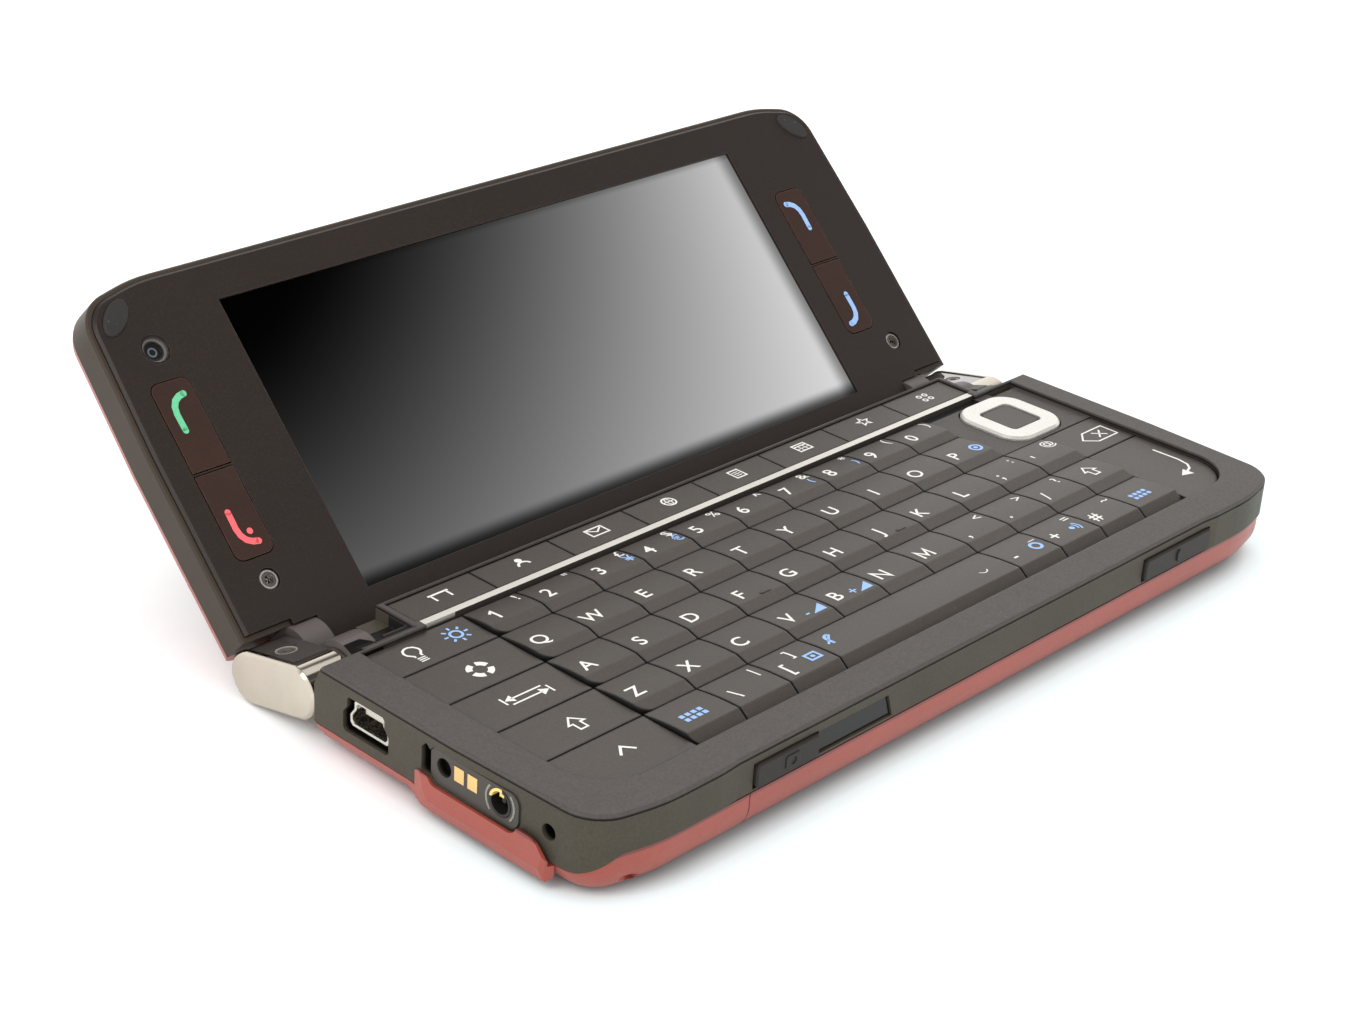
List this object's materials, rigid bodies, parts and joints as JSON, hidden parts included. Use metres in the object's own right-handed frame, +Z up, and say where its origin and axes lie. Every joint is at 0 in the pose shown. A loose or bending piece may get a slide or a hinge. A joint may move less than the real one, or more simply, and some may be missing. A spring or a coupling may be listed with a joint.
{
  "type": "communicator phone",
  "caption": "Clamshell communicator phone, open on a table: full keyboard below, wide display above, joined by a bright two-axis link at each end.",
  "frame": {"origin": "middle of the flat underside of the lower half, on the table", "axes": "+X to the user's right along the hinge, +Y from the user to the hinge, +Z up"},
  "size_m": [0.1335, 0.0975, 0.041],
  "materials": {
    "soft_touch_rim": "soft-touch satin",
    "band_plastic": "fine matt",
    "red_shell": "satin pearl lacquer",
    "battery_pack": "printed wrap",
    "circuit_board": "solder mask",
    "barrel_plastic": "fine matt",
    "bright_trim": "vacuum plated",
    "port_shell": "nickel plate",
    "connector_plastic": "fine matt",
    "contact_gold": "gold plate",
    "jack_metal": "nickel plate",
    "infrared_filter": "polished filter plastic",
    "camera_trim": "polished",
    "camera_glass": "polished",
    "flash_glass": "prismatic",
    "speaker_mesh": "woven mesh",
    "motor_can": "drawn can",
    "screw_steel": "zinc plated",
    "dark_screw": "black oxide",
    "side_key_plastic": "satin",
    "key_plastic": "fine matt",
    "pad_metal": "satin plated",
    "link_metal": "polished plate",
    "link_inlay": "gloss",
    "pin_steel": "ground",
    "bezel_plastic": "speckled sparkle",
    "window_glass": "polished",
    "panel_stack": "layered panel",
    "bumper_rubber": "moulded",
    "inner_camera_body": "polished",
    "lid_key_plastic": "satin",
    "outer_window_glass": "polished",
    "outer_key_plastic": "satin"
  },
  "bodies": {
    "lower_half": {"top_case": "soft_touch_rim", "side_band": "band_plastic", "antenna_cover": "red_shell", "battery": "battery_pack", "main_board": "circuit_board", "base_barrels": "barrel_plastic", "key_strip": "bright_trim", "usb_port": "port_shell", "connector_plate": "connector_plastic", "charge_contacts": "contact_gold", "charge_jack": "jack_metal", "infrared_window": "infrared_filter", "rear_camera": "camera_trim", "rear_camera_lens": "camera_glass", "flash_lens": "flash_glass", "loudspeaker": "speaker_mesh", "vibration_motor": "motor_can", "case_screws": "screw_steel"},
    "links": {"hinge_links": "link_metal", "link_covers": "link_inlay", "link_screws": "screw_steel", "hinge_pins": "pin_steel"},
    "upper_half": {"lid_barrels": "barrel_plastic", "lid_bezel": "bezel_plastic", "lid_band": "band_plastic", "lid_cover": "red_shell", "screen_window": "window_glass", "display_panel": "panel_stack", "lid_bumpers": "bumper_rubber", "lid_screws": "dark_screw", "inner_camera": "inner_camera_body", "outer_window": "outer_window_glass", "earpiece": "speaker_mesh"},
    "battery_lid": {"battery_cover": "red_shell"},
    "soft_keys": {"soft_keys": "key_plastic"},
    "number_row_keys": {"number_row_keys": "key_plastic"},
    "q_row_keys": {"q_row_keys": "key_plastic"},
    "a_row_keys": {"a_row_keys": "key_plastic"},
    "z_row_keys": {"z_row_keys": "key_plastic"},
    "bottom_row_keys": {"bottom_row_keys": "key_plastic"},
    "space_bar": {"space_bar": "key_plastic"},
    "light_key": {"light_key": "key_plastic"},
    "menu_key": {"menu_key": "key_plastic"},
    "tab_key": {"tab_key": "key_plastic"},
    "shift_key": {"shift_key": "key_plastic"},
    "ctrl_key": {"ctrl_key": "key_plastic"},
    "backspace_key": {"backspace_key": "key_plastic"},
    "enter_key": {"enter_key": "key_plastic"},
    "direction_ring": {"direction_ring": "pad_metal"},
    "select_key": {"select_key": "key_plastic"},
    "camera_key": {"camera_key": "side_key_plastic"},
    "voice_key": {"voice_key": "side_key_plastic"},
    "call_key": {"call_key": "lid_key_plastic"},
    "end_key": {"end_key": "lid_key_plastic"},
    "upper_option_key": {"upper_option_key": "lid_key_plastic"},
    "lower_option_key": {"lower_option_key": "lid_key_plastic"},
    "outer_number_keys": {"outer_number_keys": "outer_key_plastic"},
    "outer_function_keys": {"outer_function_keys": "outer_key_plastic"},
    "outer_direction_ring": {"outer_direction_ring": "outer_key_plastic"},
    "outer_select_key": {"outer_select_key": "outer_key_plastic"}
  },
  "joints": [
    {"name": "lower_hinge", "type": "hinge", "parent": "lower_half", "child": "links", "pos_m": [0, 0.0216, 0.0055], "axis": [1, 0, 0], "range_deg": [0, 102.5]},
    {"name": "upper_hinge", "type": "hinge", "parent": "links", "child": "upper_half", "pos_m": [0, 0.03019, 0.0036], "axis": [1, 0, 0], "range_deg": [-45, 32.5]},
    {"name": "battery_cover_pull", "type": "slide", "parent": "lower_half", "child": "battery_lid", "axis": [0, 0, -1], "range_m": [0, 0.012]},
    {"name": "soft_keys_press", "type": "slide", "parent": "lower_half", "child": "soft_keys", "axis": [0, 0, -1], "range_m": [0, 0.0003], "stiffness_N_per_m": 400},
    {"name": "number_row_keys_press", "type": "slide", "parent": "lower_half", "child": "number_row_keys", "axis": [0, 0, -1], "range_m": [0, 0.0003], "stiffness_N_per_m": 400},
    {"name": "q_row_keys_press", "type": "slide", "parent": "lower_half", "child": "q_row_keys", "axis": [0, 0, -1], "range_m": [0, 0.0003], "stiffness_N_per_m": 400},
    {"name": "a_row_keys_press", "type": "slide", "parent": "lower_half", "child": "a_row_keys", "axis": [0, 0, -1], "range_m": [0, 0.0003], "stiffness_N_per_m": 400},
    {"name": "z_row_keys_press", "type": "slide", "parent": "lower_half", "child": "z_row_keys", "axis": [0, 0, -1], "range_m": [0, 0.0003], "stiffness_N_per_m": 400},
    {"name": "bottom_row_keys_press", "type": "slide", "parent": "lower_half", "child": "bottom_row_keys", "axis": [0, 0, -1], "range_m": [0, 0.0003], "stiffness_N_per_m": 400},
    {"name": "space_bar_press", "type": "slide", "parent": "lower_half", "child": "space_bar", "axis": [0, 0, -1], "range_m": [0, 0.0003], "stiffness_N_per_m": 400},
    {"name": "light_key_press", "type": "slide", "parent": "lower_half", "child": "light_key", "axis": [0, 0, -1], "range_m": [0, 0.0003], "stiffness_N_per_m": 400},
    {"name": "menu_key_press", "type": "slide", "parent": "lower_half", "child": "menu_key", "axis": [0, 0, -1], "range_m": [0, 0.0003], "stiffness_N_per_m": 400},
    {"name": "tab_key_press", "type": "slide", "parent": "lower_half", "child": "tab_key", "axis": [0, 0, -1], "range_m": [0, 0.0003], "stiffness_N_per_m": 400},
    {"name": "shift_key_press", "type": "slide", "parent": "lower_half", "child": "shift_key", "axis": [0, 0, -1], "range_m": [0, 0.0003], "stiffness_N_per_m": 400},
    {"name": "ctrl_key_press", "type": "slide", "parent": "lower_half", "child": "ctrl_key", "axis": [0, 0, -1], "range_m": [0, 0.0003], "stiffness_N_per_m": 400},
    {"name": "backspace_key_press", "type": "slide", "parent": "lower_half", "child": "backspace_key", "axis": [0, 0, -1], "range_m": [0, 0.0003], "stiffness_N_per_m": 400},
    {"name": "enter_key_press", "type": "slide", "parent": "lower_half", "child": "enter_key", "axis": [0, 0, -1], "range_m": [0, 0.0003], "stiffness_N_per_m": 400},
    {"name": "direction_ring_press", "type": "slide", "parent": "lower_half", "child": "direction_ring", "axis": [0, 0, -1], "range_m": [0, 0.0003], "stiffness_N_per_m": 400},
    {"name": "select_key_press", "type": "slide", "parent": "lower_half", "child": "select_key", "axis": [0, 0, -1], "range_m": [0, 0.0003], "stiffness_N_per_m": 400},
    {"name": "camera_key_press", "type": "slide", "parent": "lower_half", "child": "camera_key", "axis": [0, 1, 0], "range_m": [0, 0.0003], "stiffness_N_per_m": 400},
    {"name": "voice_key_press", "type": "slide", "parent": "lower_half", "child": "voice_key", "axis": [0, 1, 0], "range_m": [0, 0.0003], "stiffness_N_per_m": 400},
    {"name": "call_key_press", "type": "slide", "parent": "upper_half", "child": "call_key", "axis": [0, 0.7071, -0.7071], "range_m": [0, 0.0003], "stiffness_N_per_m": 400},
    {"name": "end_key_press", "type": "slide", "parent": "upper_half", "child": "end_key", "axis": [0, 0.7071, -0.7071], "range_m": [0, 0.0003], "stiffness_N_per_m": 400},
    {"name": "upper_option_key_press", "type": "slide", "parent": "upper_half", "child": "upper_option_key", "axis": [0, 0.7071, -0.7071], "range_m": [0, 0.0003], "stiffness_N_per_m": 400},
    {"name": "lower_option_key_press", "type": "slide", "parent": "upper_half", "child": "lower_option_key", "axis": [0, 0.7071, -0.7071], "range_m": [0, 0.0003], "stiffness_N_per_m": 400},
    {"name": "outer_number_keys_press", "type": "slide", "parent": "upper_half", "child": "outer_number_keys", "axis": [0, -0.7071, 0.7071], "range_m": [0, 0.0003], "stiffness_N_per_m": 400},
    {"name": "outer_function_keys_press", "type": "slide", "parent": "upper_half", "child": "outer_function_keys", "axis": [0, -0.7071, 0.7071], "range_m": [0, 0.0003], "stiffness_N_per_m": 400},
    {"name": "outer_direction_ring_press", "type": "slide", "parent": "upper_half", "child": "outer_direction_ring", "axis": [0, -0.7071, 0.7071], "range_m": [0, 0.0003], "stiffness_N_per_m": 400},
    {"name": "outer_select_key_press", "type": "slide", "parent": "upper_half", "child": "outer_select_key", "axis": [0, -0.7071, 0.7071], "range_m": [0, 0.0003], "stiffness_N_per_m": 400}
  ]
}
